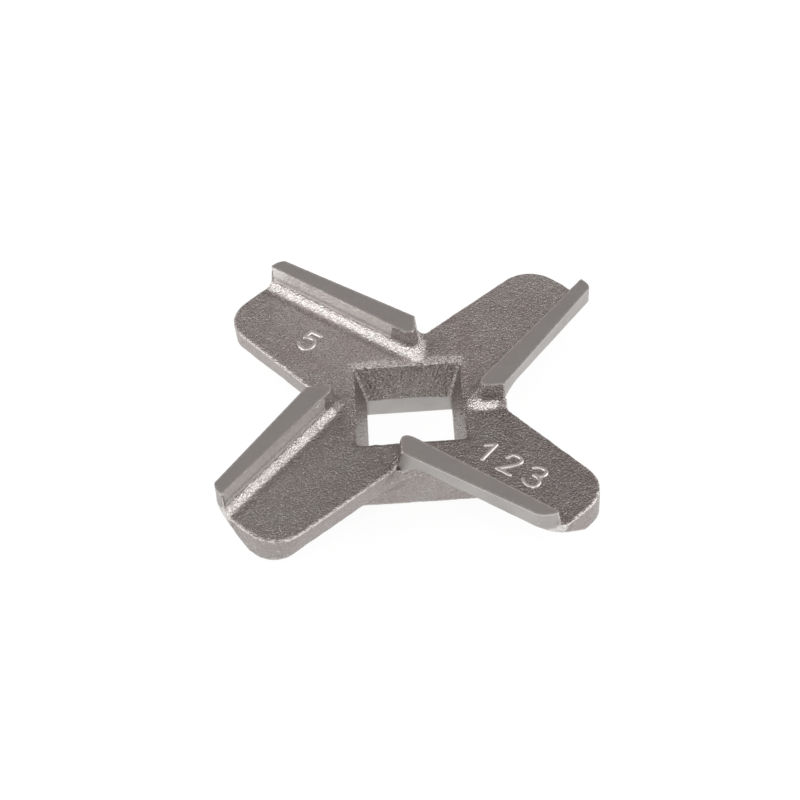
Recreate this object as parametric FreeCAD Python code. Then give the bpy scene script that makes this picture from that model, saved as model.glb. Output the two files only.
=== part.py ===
import FreeCAD, Part
import math
import os
from FreeCAD import Vector

os.makedirs("parts", exist_ok=True)

# Four-armed knife of a meat grinder: one steel casting, ground on its cutting ribs.
# Millimetres and degrees. +Z is the side that runs against the hole plate, and the origin is on the
# axis of the drive hole, in the bottom face of the hub.
#
# Each arm is described in a frame of its own: x runs outwards along its cutting edge, y points away
# from that edge across the arm, and the hole's axis is at (0, 0).

# Whole knife
swing_diameter = 48.0
arm_count = 4
first_arm_angle = 53.4
arm_top_height = 6.35
arm_thickness = 3.0

# Hub and drive hole
hub_width = 17.5
hub_draft = 3.0
hub_corner_radius = 2.0
hub_root_bevel = 1.4
drive_square = 9.1
funnel_square = 11.6
funnel_depth = 4.25
funnel_rim_bevel = 0.45

# Arm, seen from above
edge_offset = 8.7
trailing_offset = 6.5
trailing_taper = 14.0
tip_lead_radius = 0.4
tip_corner_radius = 3.8
tip_corner_radius_below = 2.8
notch_radius = 0.8
side_draft = 12.0

# Cutting rib
rib_height = 2.7
rib_root_width = 2.5
rib_tip_width = 1.55
rib_draft = 5.0
rib_end_radius = 1.5
rib_cove_radius = 0.9

# Ground leading face, and the slope under it, which eases off further in
face_height_root = 1.85
face_height_tip = 2.55
face_relief = 6.6
underside_slope = 40.0
underside_knee = 2.45
underside_easy_slope = 28.0
slope_start = 6.2
slope_lead_in = 0.75

# Derived sizes
swing_radius = swing_diameter / 2
arm_bottom_height = arm_top_height - arm_thickness
rib_top_height = arm_top_height + rib_height
edge_reach = math.sqrt(swing_radius ** 2 - edge_offset ** 2)
clear = swing_radius / 8
taper = math.radians(trailing_taper)
arm_step = math.radians(360 / arm_count)
side_inset = arm_thickness * math.tan(math.radians(side_draft))
rib_end_skew = math.radians(90 - first_arm_angle)


def line(a, b):
    """A straight edge between two points."""
    return Part.LineSegment(a, b).toShape()


def arc(centre, radius, start, middle, end):
    """An arc about a centre, through three directions given as angles in radians."""
    points = []
    for angle in (start, middle, end):
        points.append(centre + Vector(math.cos(angle), math.sin(angle), 0) * radius)
    return Part.Arc(*points).toShape()


def turned(shape, index):
    """A copy of an arm's shape, turned from the arm's own frame to the arm with this number."""
    copy = shape.copy()
    copy.rotate(Vector(0, 0, 0), Vector(0, 0, 1), first_arm_angle + index * 360 / arm_count)
    return copy


def notch_round(offset):
    """Centre of the round in the notch beside an arm's cutting edge.

    The arm before this one is turned back by one step, so its trailing side is a line whose normal
    points into the notch.
    """
    normal = Vector(math.sin(taper + arm_step), math.cos(taper + arm_step), 0)
    reach = offset * math.cos(taper) + notch_radius
    y = -edge_offset - notch_radius
    x = (reach - normal.y * y) / normal.x
    return Vector(x, y, 0)


def arm_edges(offset, corner_radius):
    """Outline of one arm in its own frame, from one notch to the next, at a trailing offset."""
    notch_centre = notch_round(offset)
    start = Vector(notch_centre.x, -edge_offset, 0)
    # The leading corner's round touches the cutting side and the tip circle, both from inside.
    lead = Vector(0, -edge_offset + tip_lead_radius, 0)
    lead.x = math.sqrt((swing_radius - tip_lead_radius) ** 2 - lead.y ** 2)
    lead_angle = math.atan2(lead.y, lead.x)
    # The other corner's round touches the tip circle and the trailing side, both from inside.
    side_normal = Vector(math.sin(taper), math.cos(taper), 0)
    side_along = Vector(math.cos(taper), -math.sin(taper), 0)
    depth = offset * math.cos(taper) - corner_radius
    along = math.sqrt((swing_radius - corner_radius) ** 2 - depth ** 2)
    corner = side_normal * depth + side_along * along
    corner_angle = math.atan2(corner.y, corner.x)
    side_angle = math.atan2(side_normal.y, side_normal.x)
    side_start = corner + side_normal * corner_radius
    # The next notch is this arm's own notch turned forward by one step.
    forward = FreeCAD.Rotation(Vector(0, 0, 1), 360 / arm_count)
    next_centre = forward.multVec(notch_centre)
    round_start = -math.pi / 2 - taper
    round_end = arm_step - math.pi * 3 / 2
    origin = Vector(0, 0, 0)
    side_end = next_centre - side_normal * notch_radius
    return [
        line(start, lead - Vector(0, tip_lead_radius, 0)),
        arc(lead, tip_lead_radius, -math.pi / 2, (lead_angle - math.pi / 2) / 2, lead_angle),
        arc(origin, swing_radius, lead_angle, (lead_angle + corner_angle) / 2, corner_angle),
        arc(corner, corner_radius, corner_angle, (corner_angle + side_angle) / 2, side_angle),
        line(side_start, side_end),
        arc(next_centre, notch_radius, round_start, (round_start + round_end) / 2, round_end),
    ]


def cross_wire(inset, corner_radius, height):
    """Closed outline of the whole cross at a height, with its trailing sides moved in by an inset."""
    edges = []
    for index in range(arm_count):
        for edge in arm_edges(trailing_offset - inset / math.cos(taper), corner_radius):
            edges.append(turned(edge, index))
    wire = Part.Wire(Part.sortEdges(edges)[0])
    wire.translate(Vector(0, 0, height))
    return wire


def cross_plate():
    """The four arms as one plate, with drafted trailing sides."""
    below = cross_wire(side_inset, tip_corner_radius_below, arm_bottom_height)
    return Part.makeLoft([below, cross_wire(0, tip_corner_radius, arm_top_height)], True, True)


def flat_sided(first, second):
    """A solid with flat faces between two ends that have the same number of corners."""
    faces = [first, second]
    for i in range(len(first)):
        j = (i + 1) % len(first)
        faces.append([first[i], first[j], second[j], second[i]])
    shell = Part.Shell([Part.Face(Part.makePolygon(face + face[:1])) for face in faces])
    return Part.Solid(shell)


def square_frustum(bottom_width, top_width, bottom_height, top_height):
    """A square block about the axis whose width changes from one height to another."""
    ends = []
    for width, height in ((bottom_width, bottom_height), (top_width, top_height)):
        half = width / 2
        ends.append([Vector(x * half, y * half, height) for x, y in ((-1, -1), (-1, 1), (1, 1), (1, -1))])
    return flat_sided(*ends)


def rib_wire(spread, height):
    """Plan of the rib at a height: its inner face and its inner end stand further out by a spread.

    The inner end is parallel to the hub's side, so it leaves the cutting edge at a slant.
    """
    start = notch_round(trailing_offset).x
    end = swing_radius + clear
    outer_y = -edge_offset - clear
    root_y = -edge_offset + rib_root_width + spread
    slope = (rib_tip_width - rib_root_width) / (edge_reach - start)
    lean = math.atan(slope)
    radius = rib_end_radius + spread
    out = Vector(-math.cos(rib_end_skew), -math.sin(rib_end_skew), 0)
    reach = out.dot(Vector(start, -edge_offset, 0)) + spread
    # The inner corner's round touches the rib's end and its inner face.
    wall_y = root_y - slope * start - radius / math.cos(lean)
    centre = Vector((reach - radius - out.y * wall_y) / (out.x + out.y * slope), 0, 0)
    centre.y = wall_y + slope * centre.x
    face_start = centre + Vector(-math.sin(lean), math.cos(lean), 0) * radius
    face_end = Vector(end, root_y + slope * (end - start), 0)
    face_angle = math.pi / 2 + lean
    end_angle = math.pi + rib_end_skew
    foot = Vector((reach - out.y * outer_y) / out.x, outer_y, 0)
    edges = [
        line(foot, Vector(end, outer_y, 0)),
        line(Vector(end, outer_y, 0), face_end),
        line(face_end, face_start),
        arc(centre, radius, face_angle, (face_angle + end_angle) / 2, end_angle),
        line(centre + out * radius, foot),
    ]
    wire = Part.Wire(edges)
    wire.translate(Vector(0, 0, height))
    return wire


def rib_with_cove():
    """One rib in its arm's frame, with the cove where it rises out of the arm."""
    spread = rib_height * math.tan(math.radians(rib_draft))
    rib = Part.makeLoft([rib_wire(spread, arm_top_height), rib_wire(0, rib_top_height)], True, True)
    slab_length = swing_radius + clear
    slab_width = edge_offset + clear
    slab = Part.makeBox(slab_length, slab_width, arm_thickness, Vector(0, -slab_width, arm_bottom_height))
    block = slab.fuse(rib).removeSplitter()
    seam = []
    for edge in block.Edges:
        box = edge.BoundBox
        inside = box.XMin > clear / 4 and box.YMin > -slab_width - clear / 4 and box.YMax < -clear / 4
        if inside and abs(box.ZMin - arm_top_height) < 1e-6 and abs(box.ZMax - arm_top_height) < 1e-6:
            seam.append(edge)
    block = block.makeFillet(rib_cove_radius, seam)
    return block.common(Part.makeBox(slab_length, slab_width, rib_height, Vector(0, -slab_width, arm_top_height)))


def leading_face_cutter():
    """What is ground away in front of the cutting edge, in the arm's frame."""
    relief = math.tan(math.radians(face_relief))
    start = notch_round(trailing_offset).x
    top = rib_top_height + clear
    bottom = arm_bottom_height - clear
    ends = []
    for x in (start, swing_radius + clear):
        ends.append([
            Vector(x, -edge_offset - relief * (top - rib_top_height), top),
            Vector(x, -edge_offset + relief * (rib_top_height - bottom), bottom),
            Vector(x, -edge_offset - clear, bottom),
            Vector(x, -edge_offset - clear, top),
        ])
    return flat_sided(*ends)


def underside_cutter():
    """What is missing below the leading face, where the underside slopes away, in the arm's frame.

    Its profile is steep up to the knee and easier beyond it. The profile moves up towards the hub as
    the leading face gets lower, and its inner end leans.
    """
    relief = math.tan(math.radians(face_relief))
    growth = (face_height_tip - face_height_root) / (edge_reach - slope_start)
    knee_drop = underside_knee * math.tan(math.radians(underside_slope))
    bottom = arm_bottom_height - clear
    lean = slope_lead_in / (1 + slope_lead_in * growth)
    outside_y = -edge_offset - clear

    def low_edge(x):
        """The low edge of the leading face at this distance out."""
        height = face_height_root + growth * (x - slope_start)
        return Vector(x, -edge_offset + relief * height, rib_top_height - height)

    foot_x = slope_start - slope_lead_in * (rib_top_height - face_height_root - bottom)
    inner_end = (slope_start, slope_start - lean * knee_drop, foot_x)
    outer_end = (swing_radius + clear,) * 3
    ends = []
    for edge_x, knee_x, foot_x in (inner_end, outer_end):
        edge = low_edge(edge_x)
        knee = low_edge(knee_x) + Vector(0, underside_knee, -knee_drop)
        foot = low_edge(foot_x) + Vector(0, underside_knee, -knee_drop)
        run = (foot.z - bottom) / math.tan(math.radians(underside_easy_slope))
        foot = Vector(foot.x, foot.y + run, bottom)
        ends.append([edge, knee, foot, Vector(foot.x, outside_y, bottom), Vector(edge.x, outside_y, edge.z)])
    return flat_sided(*ends)


def hub_width_at(height):
    """Width of the hub at a height: it grows towards the arms by its draft."""
    return hub_width + 2 * height * math.tan(math.radians(hub_draft))


def hub_block(top_width, bottom_height, top_height):
    """A square block with rounded corners that rises from the hub's own width at its bottom."""
    block = square_frustum(hub_width_at(bottom_height), top_width, bottom_height, top_height)
    corners = []
    for edge in block.Edges:
        if edge.BoundBox.ZLength > (top_height - bottom_height) / 2:
            corners.append(edge)
    return block.makeFillet(hub_corner_radius, corners)


def hub_root():
    """The bevel between the hub and the undersides of the arms, kept within the arms' outline."""
    low = arm_bottom_height - hub_root_bevel
    top_width = hub_width_at(arm_bottom_height) + 2 * hub_root_bevel
    bevel = hub_block(top_width, low, arm_bottom_height)
    outline = cross_wire(side_inset, tip_corner_radius_below, low)
    under_arms = Part.Face(outline).extrude(Vector(0, 0, hub_root_bevel))
    return bevel.common(under_arms)


def drive_hole():
    """The square hole, with the funnel that leads into it from above."""
    funnel_bottom = arm_top_height - funnel_depth
    growth = (funnel_square - drive_square) / funnel_depth
    funnel = square_frustum(drive_square, funnel_square + growth * clear, funnel_bottom, arm_top_height + clear)
    rim = square_frustum(
        funnel_square - growth * funnel_rim_bevel,
        funnel_square + 2 * funnel_rim_bevel,
        arm_top_height - funnel_rim_bevel,
        arm_top_height,
    )
    half = drive_square / 2
    straight = Part.makeBox(drive_square, drive_square, funnel_bottom + clear, Vector(-half, -half, -clear))
    return funnel.fuse(rim).fuse(straight).removeSplitter()


def knife():
    """The finished casting."""
    rib_zone = Part.Face(cross_wire(0, tip_corner_radius, arm_top_height)).extrude(Vector(0, 0, rib_height))
    body = cross_plate().fuse(hub_root())
    for index in range(arm_count):
        rib = turned(rib_with_cove(), index).common(rib_zone)
        body = body.fuse(rib)
    for index in range(arm_count):
        body = body.cut(turned(leading_face_cutter(), index))
        body = body.cut(turned(underside_cutter(), index))
    body = body.fuse(hub_block(hub_width_at(arm_top_height), 0, arm_top_height)).removeSplitter()
    body = body.cut(drive_hole())
    return body.removeSplitter()


solid = knife()
if solid.ShapeType == "Compound" and len(solid.Solids) == 1:
    solid = solid.Solids[0]
box = solid.optimalBoundingBox()
print("solids", len(solid.Solids), "valid", solid.isValid(), "volume", round(solid.Volume, 1))
print("box", [round(v, 3) for v in (box.XMin, box.XMax, box.YMin, box.YMax, box.ZMin, box.ZMax)])
solid.exportStep("parts/four_blade_knife.step")
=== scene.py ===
# %% [markdown]
# # A meat grinder knife, from its casting to its photograph
#
# The object is one steel casting: a cross with four arms, a square hole through the middle for the
# grinder's shaft, a raised rib along one edge of each arm, and a square hub underneath. After casting,
# only a few faces are ground: the tops of the ribs, which run against the hole plate, and the face in
# front of each cutting edge. The lowest part of the square hole is broached. Everything else keeps the
# skin that the mould gave it.
#
# This file builds the knife's skin, its raised digits and the steel's finishes, and then the camera,
# the floor and the lights of a plain product photograph.

# %% Load the measured model
import math

import bpy
import numpy as np
from mathutils import Matrix, Vector


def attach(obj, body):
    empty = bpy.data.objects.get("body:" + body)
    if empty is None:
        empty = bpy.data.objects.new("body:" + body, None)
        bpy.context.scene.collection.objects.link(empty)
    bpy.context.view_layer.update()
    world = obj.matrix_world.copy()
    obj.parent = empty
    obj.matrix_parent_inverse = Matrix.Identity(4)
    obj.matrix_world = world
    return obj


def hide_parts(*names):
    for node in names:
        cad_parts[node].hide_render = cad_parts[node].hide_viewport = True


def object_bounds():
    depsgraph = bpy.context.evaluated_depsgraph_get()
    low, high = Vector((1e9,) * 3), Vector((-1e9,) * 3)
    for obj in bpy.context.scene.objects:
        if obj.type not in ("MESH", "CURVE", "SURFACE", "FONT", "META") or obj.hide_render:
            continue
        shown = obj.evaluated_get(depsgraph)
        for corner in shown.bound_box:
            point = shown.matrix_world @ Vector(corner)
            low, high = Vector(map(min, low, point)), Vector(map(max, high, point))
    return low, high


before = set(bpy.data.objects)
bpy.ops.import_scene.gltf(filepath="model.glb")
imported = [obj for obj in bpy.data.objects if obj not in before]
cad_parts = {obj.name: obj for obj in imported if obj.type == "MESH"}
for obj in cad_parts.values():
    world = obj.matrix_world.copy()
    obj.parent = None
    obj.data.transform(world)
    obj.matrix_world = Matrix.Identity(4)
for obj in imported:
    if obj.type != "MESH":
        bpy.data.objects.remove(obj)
measured_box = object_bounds()
print("measured box, mm:", [[round(v * 1000, 2) for v in corner] for corner in measured_box])

# %% [markdown]
# ## Sizes
#
# The lengths below are in millimetres, because the knife is a small thing and its sizes read well that
# way. They are the same sizes as in the measured model. Each arm is described in a frame of its own: x
# runs outwards along the cutting edge, and y points away from that edge across the arm. The four arms
# are one arm turned by quarter turns, and the first stands at 53.4 degrees.

# %% Sizes of the knife
MM = 0.001
SWING_RADIUS = 24.0
ARM_TURN = math.radians(53.4)
ARM_TOP = 6.35
ARM_BOTTOM = 3.35
RIB_TOP = 9.05
EDGE_Y = -8.7
EDGE_END = math.sqrt(SWING_RADIUS ** 2 - EDGE_Y ** 2)
TRAILING_Y = 6.5
TAPER = math.radians(14.0)
SIDE_DRAFT = math.tan(math.radians(12.0))
FACE_RELIEF = math.tan(math.radians(6.6))
TIP_ROUND = 3.8
TIP_ROUND_BELOW = 2.8
NOTCH_ROUND = 0.8
print("swing", 2 * SWING_RADIUS, "mm, height", RIB_TOP, "mm")

# %% [markdown]
# ## The casting as a body of distances
#
# A cast skin has no sharp inner corners: where a rib rises from an arm, or an arm from the hub, the
# mould leaves a fillet, and every outer corner is a little round. Loose sheets that meet edge to edge
# can't show that, so the whole casting is described another way. One function gives, for any point in
# space, how far that point lies outside the steel, with a minus sign inside it. Joining two bodies is
# the smaller of their two distances, cutting is the larger, and a round join or a round cut blends the
# two along an arc. All of it works on whole arrays of points at once.

# %% Round joins and round cuts
def round_join(a, b, radius):
    """Both bodies together, with a fillet in the corner between them.

    The result is the radius less the distance to the fillet's own centre line.
    """
    reach = np.hypot(np.maximum(radius - a, 0), np.maximum(radius - b, 0))
    return np.maximum(np.minimum(a, b), radius) - reach


def round_cut(a, b, radius):
    """What two bodies share, with a round corner: the round join of the two empty sides, reversed."""
    return -round_join(-a, -b, radius)


def quarter_turns(x, y):
    """The points of a plan seen from each of the four arms' own frames."""
    along = x * math.cos(ARM_TURN) + y * math.sin(ARM_TURN)
    across = y * math.cos(ARM_TURN) - x * math.sin(ARM_TURN)
    return [(along, across), (across, -along), (-along, -across), (-across, along)]


fillet_depth = -round_join(np.zeros(1), np.zeros(1), 1.0)[0]
print("a fillet of 1 mm fills its corner to", round(float(fillet_depth), 3), "mm")

# %% [markdown]
# ## The outline of the arms
#
# Seen from above, an arm is bounded by its straight cutting side, by the circle that its tip sweeps, by
# a round corner, and by a trailing side that closes in by 14 degrees. The trailing side and the corner
# lean inwards going down, because the casting had to leave its mould. Two arms meet in a small round
# notch. Only the notch between the two front arms is nearly sharp at the top, and it gets rounder
# going down.
#
# A casting that was finished by hand is never quite regular. So the arms get small differences of their
# own, kept in tables with one value for each arm: right rear, left rear, left front and right front.

# %% Plan of the arms
# Each rib starts where the notch's round, tucked against the arm before, meets the cutting side.
NOTCH_REACH = TRAILING_Y * math.cos(TAPER) + NOTCH_ROUND
RIB_START = (NOTCH_REACH + math.sin(TAPER) * (EDGE_Y - NOTCH_ROUND)) / math.cos(TAPER)
# How far each trailing side stands out, and how round each leading corner is.
SIDE_SHIFT = (0.1, -0.1, 0.0, 0.2)
LEAD_ROUND = (1.1, 1.1, 1.2, 1.7)
# How much cast stock lies in front of the ground face, and how much that cast side leans.
GRINDING_STOCK = (0.3, 0.3, 0.3, 0.08)
CAST_LEAN = (0.0, 0.0, 0.0, FACE_RELIEF)
# How far grinding runs on past the rib's inner end, and the height below which it leaves the cast side.
GRINDING_RUN_OUT = (0.0, 0.0, 0.0, 0.7)
GRINDING_FLOOR = (-1.0, -1.0, -1.0, 5.9)
# The front notch: how round it is at the plate's top, and how much rounder for each millimetre down.
FRONT_NOTCH_ROUND = 0.15
FRONT_NOTCH_WIDENING = 0.8


def arm_plan(x, y, z, arm):
    """Distance to one arm's sides: the greatest of the distances to its cutting side, tip and trailing side.

    The cutting side keeps a little stock beyond the ground face, which is cut off further on. Going
    down, the trailing side leans in, and the corner beside it gets less round.
    """
    fall = np.clip(ARM_TOP - z, 0, ARM_TOP - ARM_BOTTOM)
    cutting_side = EDGE_Y - GRINDING_STOCK[arm] + CAST_LEAN[arm] * (RIB_TOP - z) - y
    reach = (TRAILING_Y + SIDE_SHIFT[arm]) * math.cos(TAPER) - SIDE_DRAFT * fall
    trailing_side = x * math.sin(TAPER) + y * math.cos(TAPER) - reach
    tip = np.hypot(x, y) - SWING_RADIUS
    radius = TIP_ROUND + (TIP_ROUND_BELOW - TIP_ROUND) * fall / (ARM_TOP - ARM_BOTTOM)
    depth = reach - radius
    along = np.sqrt((SWING_RADIUS - radius) ** 2 - depth ** 2)
    centre_x = depth * math.sin(TAPER) + along * math.cos(TAPER)
    centre_y = depth * math.cos(TAPER) - along * math.sin(TAPER)
    dx = x - centre_x
    dy = y - centre_y
    past_side = dx * math.cos(TAPER) - dy * math.sin(TAPER) > 0
    past_tip = dy * centre_x - dx * centre_y > 0
    outside = np.where(past_side & past_tip, np.hypot(dx, dy) - radius, np.maximum(trailing_side, tip))
    return np.maximum(round_cut(cutting_side, outside, LEAD_ROUND[arm]), -x)


def cross_plan(turns, z):
    """Distance to the sides of the whole cross, with a round notch where two arms meet.

    The notch between the two front arms is sharp at the top and gets rounder going down.
    """
    sides = arm_plan(*turns[0], z, 0)
    for arm in (1, 2):
        sides = round_join(sides, arm_plan(*turns[arm], z, arm), NOTCH_ROUND)
    front_round = FRONT_NOTCH_ROUND + FRONT_NOTCH_WIDENING * np.clip(ARM_TOP - z, 0, ARM_TOP - ARM_BOTTOM)
    notch_round = np.where(turns[3][1] < 0, front_round, NOTCH_ROUND)
    return round_join(sides, arm_plan(*turns[3], z, 3), notch_round)


print("each rib starts", round(RIB_START, 2), "mm out along its edge")

# %% [markdown]
# ## Ribs, hub and hole
#
# A rib is narrow, gets narrower towards the tip, and has drafted walls. Its inner end is well rounded and
# stands at a slant to the cutting edge, parallel to the hub's side. Below the arms stands the hub, a
# square block with rounded corners. The square hole starts as a wide funnel at the top, with a small
# bevel round its rim. Under each cutting side the casting slopes away, so that meat is not squeezed
# below the arm. That slope starts beside the hub with a soft run-in.

# %% Cast features
RIB_ROOT_WIDTH = 2.5
RIB_TIP_WIDTH = 1.55
RIB_DRAFT = math.tan(math.radians(5.0))
RIB_END_ROUND = 1.5
RIB_SKEW = math.radians(36.6)
RIB_COVE = 0.9
FACE_HEIGHT_ROOT = 1.85
FACE_HEIGHT_TIP = 2.55
SLOPE = math.tan(math.radians(40.0))
EASY_SLOPE = math.tan(math.radians(28.0))
SLOPE_KNEE = 2.45
SLOPE_START = 6.2
SLOPE_LEAD_IN = 0.75
HUB_HALF = 8.75
HUB_DRAFT = math.tan(math.radians(3.0))
HUB_CORNER = 2.0
HUB_ROOT = 1.8
HOLE_HALF = 4.55
FUNNEL_HALF = 5.8
FUNNEL_BOTTOM = 2.1
FUNNEL_RIM = 0.45
SOFT_CORNER = 0.25
KNEE_ROUND = 1.5
RUN_IN_ROUND = 1.2
FUNNEL_CORNER = 0.3
RIM_CORNER = 0.7
RIM_ROUND = 0.15
# The hub ends this far below the plate's top, and its fillet has faded out a little lower, over a
# stretch of this height. So neither of them shows as a faint square on the plate.
HUB_SUNK = 0.4
ROOT_FADE_TOP = 0.6
ROOT_FADE = 1.2
# For the four arms: how round the top of each rib's inner end is, and how much later each rib starts.
RIB_END_TOP = (0.4, 0.3, 0.9, 0.5)
RIB_SHORTER = (0.0, 0.0, 0.6, 0.0)
# How much higher the cast rib stands than the ground one, and the height of its foot in the plate.
TOP_STOCK = 0.12
RIB_FOOT = ARM_BOTTOM + RIB_COVE + 0.3


def rib(x, y, z, arm):
    """Distance to one rib's inner wall and inner end, which lean out by the draft as they go down.

    It is the round cut of the wall and the end, and the end is rounded over at its top as well.
    """
    spread = RIB_DRAFT * (RIB_TOP - z)
    narrowing = (RIB_TIP_WIDTH - RIB_ROOT_WIDTH) / (EDGE_END - RIB_START)
    width = RIB_ROOT_WIDTH + narrowing * (x - RIB_START)
    inner_wall = y - (EDGE_Y + width + spread)
    start = RIB_START + RIB_SHORTER[arm]
    inner_end = (start - x) * math.cos(RIB_SKEW) - (y - EDGE_Y) * math.sin(RIB_SKEW) - spread
    round_top = round_cut(inner_end, z - RIB_TOP - TOP_STOCK, RIB_END_TOP[arm])
    upright = np.maximum(round_cut(inner_wall, inner_end, RIB_END_ROUND), round_top)
    return np.maximum(upright, RIB_FOOT - z)


def underside_slope(x, y, z):
    """Distance below the slope under a cutting side.

    It leaves the ground face's lower edge steeply and eases off at a knee: the higher of two planes.
    """
    growth = FACE_HEIGHT_TIP - FACE_HEIGHT_ROOT
    height = FACE_HEIGHT_ROOT + growth * (x - SLOPE_START) / (EDGE_END - SLOPE_START)
    edge_y = EDGE_Y + FACE_RELIEF * height
    edge_z = RIB_TOP - height
    steep = (edge_z - SLOPE * (y - edge_y) - z) / math.hypot(1, SLOPE)
    easy = edge_z - SLOPE * SLOPE_KNEE - EASY_SLOPE * (y - edge_y - SLOPE_KNEE) - z
    below = round_cut(steep, easy / math.hypot(1, EASY_SLOPE), KNEE_ROUND)
    run_in = x - SLOPE_START + SLOPE_LEAD_IN * (RIB_TOP - FACE_HEIGHT_ROOT - z)
    return round_join(below, run_in / math.hypot(1, SLOPE_LEAD_IN), RUN_IN_ROUND)


def rounded_square(x, y, half, corner):
    """Distance to an upright square post with round corners."""
    qx = np.abs(x) - half + corner
    qy = np.abs(y) - half + corner
    return np.hypot(np.maximum(qx, 0), np.maximum(qy, 0)) + np.minimum(np.maximum(qx, qy), 0) - corner


def cast_body(x, y, z):
    """Distance to the casting as it leaves the mould, before any grain or grinding.

    The plate and the ribs are joined, cut to the cross and to the slopes, joined to the hub, and cut by
    the funnel and its rim. Each millimetre down, the rim narrows by a millimetre more than the funnel.
    """
    turns = quarter_turns(x, y)
    body = np.maximum(z - ARM_TOP, ARM_BOTTOM - z)
    for arm, (local_x, local_y) in enumerate(turns):
        body = round_join(body, rib(local_x, local_y, z, arm), RIB_COVE)
    body = round_cut(body, cross_plan(turns, z), SOFT_CORNER)
    for local_x, local_y in turns:
        body = round_cut(body, underside_slope(local_x, local_y, z), SOFT_CORNER)
    post = rounded_square(x, y, HUB_HALF + HUB_DRAFT * z, HUB_CORNER)
    hub = np.maximum(round_cut(post, -z, SOFT_CORNER), z - (ARM_TOP - HUB_SUNK))
    body = round_join(body, hub, HUB_ROOT * np.clip((ARM_TOP - ROOT_FADE_TOP - z) / ROOT_FADE, 0.02, 1))
    widening = (FUNNEL_HALF - HOLE_HALF) / (ARM_TOP - FUNNEL_BOTTOM)
    funnel_half = HOLE_HALF + widening * (z - FUNNEL_BOTTOM)
    funnel = rounded_square(x, y, funnel_half, FUNNEL_CORNER) / math.hypot(1, widening)
    rim_half = FUNNEL_HALF + FUNNEL_RIM + (1 + widening) * np.minimum(z - ARM_TOP, 0)
    rim = rounded_square(x, y, rim_half, RIM_CORNER) / math.hypot(1, 1 + widening)
    return round_cut(body, -np.minimum(funnel, rim), RIM_ROUND)


in_the_hub = cast_body(np.array(6.5), np.array(0.0), np.array(3.0))
print("a point in the hub's wall lies", round(float(-in_the_hub), 2), "mm deep in the steel")

# %% [markdown]
# ## Grain of the mould, and what grinding takes off
#
# Sand leaves a pebbled skin. It is made from values that stand on a fine lattice and are blended
# smoothly between its points, added up at three sizes. The grain stands out as much as it goes in, and
# the skin is held inside the measured box at the end.
#
# The ground faces are flat planes, cut after the grain is on. So their edges come out a little ragged
# where the cast skin dips below the plane, as on the real knife.

# %% Grain and grinding
def lattice_noise(x, y, z, size, seed):
    """Smooth values from 0 to 1: hashed values at the eight lattice corners round a point, eased between."""
    scaled = [v / size for v in (x, y, z)]
    whole = [np.floor(v).astype(np.int64) for v in scaled]
    part = [v - w for v, w in zip(scaled, whole)]
    part = [v * v * (3 - 2 * v) for v in part]
    total = np.zeros_like(part[0])
    for corner in range(8):
        offset = [(corner >> axis) & 1 for axis in range(3)]
        key = seed * 7919
        for w, o, prime in zip(whole, offset, (73856093, 19349663, 83492791)):
            key = key ^ ((w + o) * prime)
        key = ((key ^ (key >> 13)) * 1274126177) & 0xFFFFFFFF
        value = ((key ^ (key >> 16)) & 0xFFFF) / 65535.0
        weight = 1.0
        for p, o in zip(part, offset):
            weight = weight * (p if o else 1 - p)
        total = total + value * weight
    return total


# The layers of the grain: the size and the depth of each in millimetres, and the seed of its values.
GRAIN_LAYERS = ((2.6, 0.05, 1), (0.75, 0.05, 2), (0.38, 0.04, 3))


def mould_grain(x, y, z):
    """Depth of the cast grain in millimetres: the sum of each layer's noise, less a half, times its depth."""
    return sum(depth * (lattice_noise(x, y, z, size, seed) - 0.5) for size, depth, seed in GRAIN_LAYERS)


def ground_faces(x, y, z):
    """Distance beyond the ground planes: the plane of all the rib tops, and each arm's leading face."""
    relief = math.atan(FACE_RELIEF)
    ground = z - RIB_TOP
    for arm, (local_x, local_y) in enumerate(quarter_turns(x, y)):
        leading = (EDGE_Y + FACE_RELIEF * (RIB_TOP - z) - local_y) * math.cos(relief)
        wheel = np.minimum(local_x - RIB_START + GRINDING_RUN_OUT[arm], z - GRINDING_FLOOR[arm])
        ground = np.maximum(ground, np.minimum(leading, wheel))
    return ground


def broached_square(x, y):
    """Distance outside the broached square: its nearest flat."""
    return np.maximum(np.abs(x), np.abs(y)) - HOLE_HALF


def knife_body(x, y, z):
    """Distance to the finished knife: cast body with grain, cut by the ground planes and the broach."""
    cast = cast_body(x, y, z) + mould_grain(x, y, z)
    return np.maximum(np.maximum(cast, ground_faces(x, y, z)), -broached_square(x, y))


one_depth = mould_grain(np.array(3.1), np.array(8.2), np.array(6.3))
print("the grain is", round(float(one_depth), 3), "mm deep at one point")

# %% [markdown]
# ## From distances to a skin
#
# To get a mesh, the distances are worked out on a lattice of points. Wherever two neighbouring points
# lie on different sides of the steel's surface, the surface crosses between them, and the crossing and
# its direction are measured there. Each lattice cell with crossings gets one vertex, placed where the
# planes through its crossings meet best. So a ground edge stays a true edge, and doesn't turn into
# steps. Each crossing gives one four-sided face between the four cells round it.

# %% Skin on a lattice
# Half the step over which a direction is measured, and how close to the steel the grain is worked out.
SLOPE_REACH = 0.02
NEAR_STEEL = 0.6
# How strongly a vertex is held to the middle of its crossings, where the planes leave it free.
MIDDLE_PULL = 0.06


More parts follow.
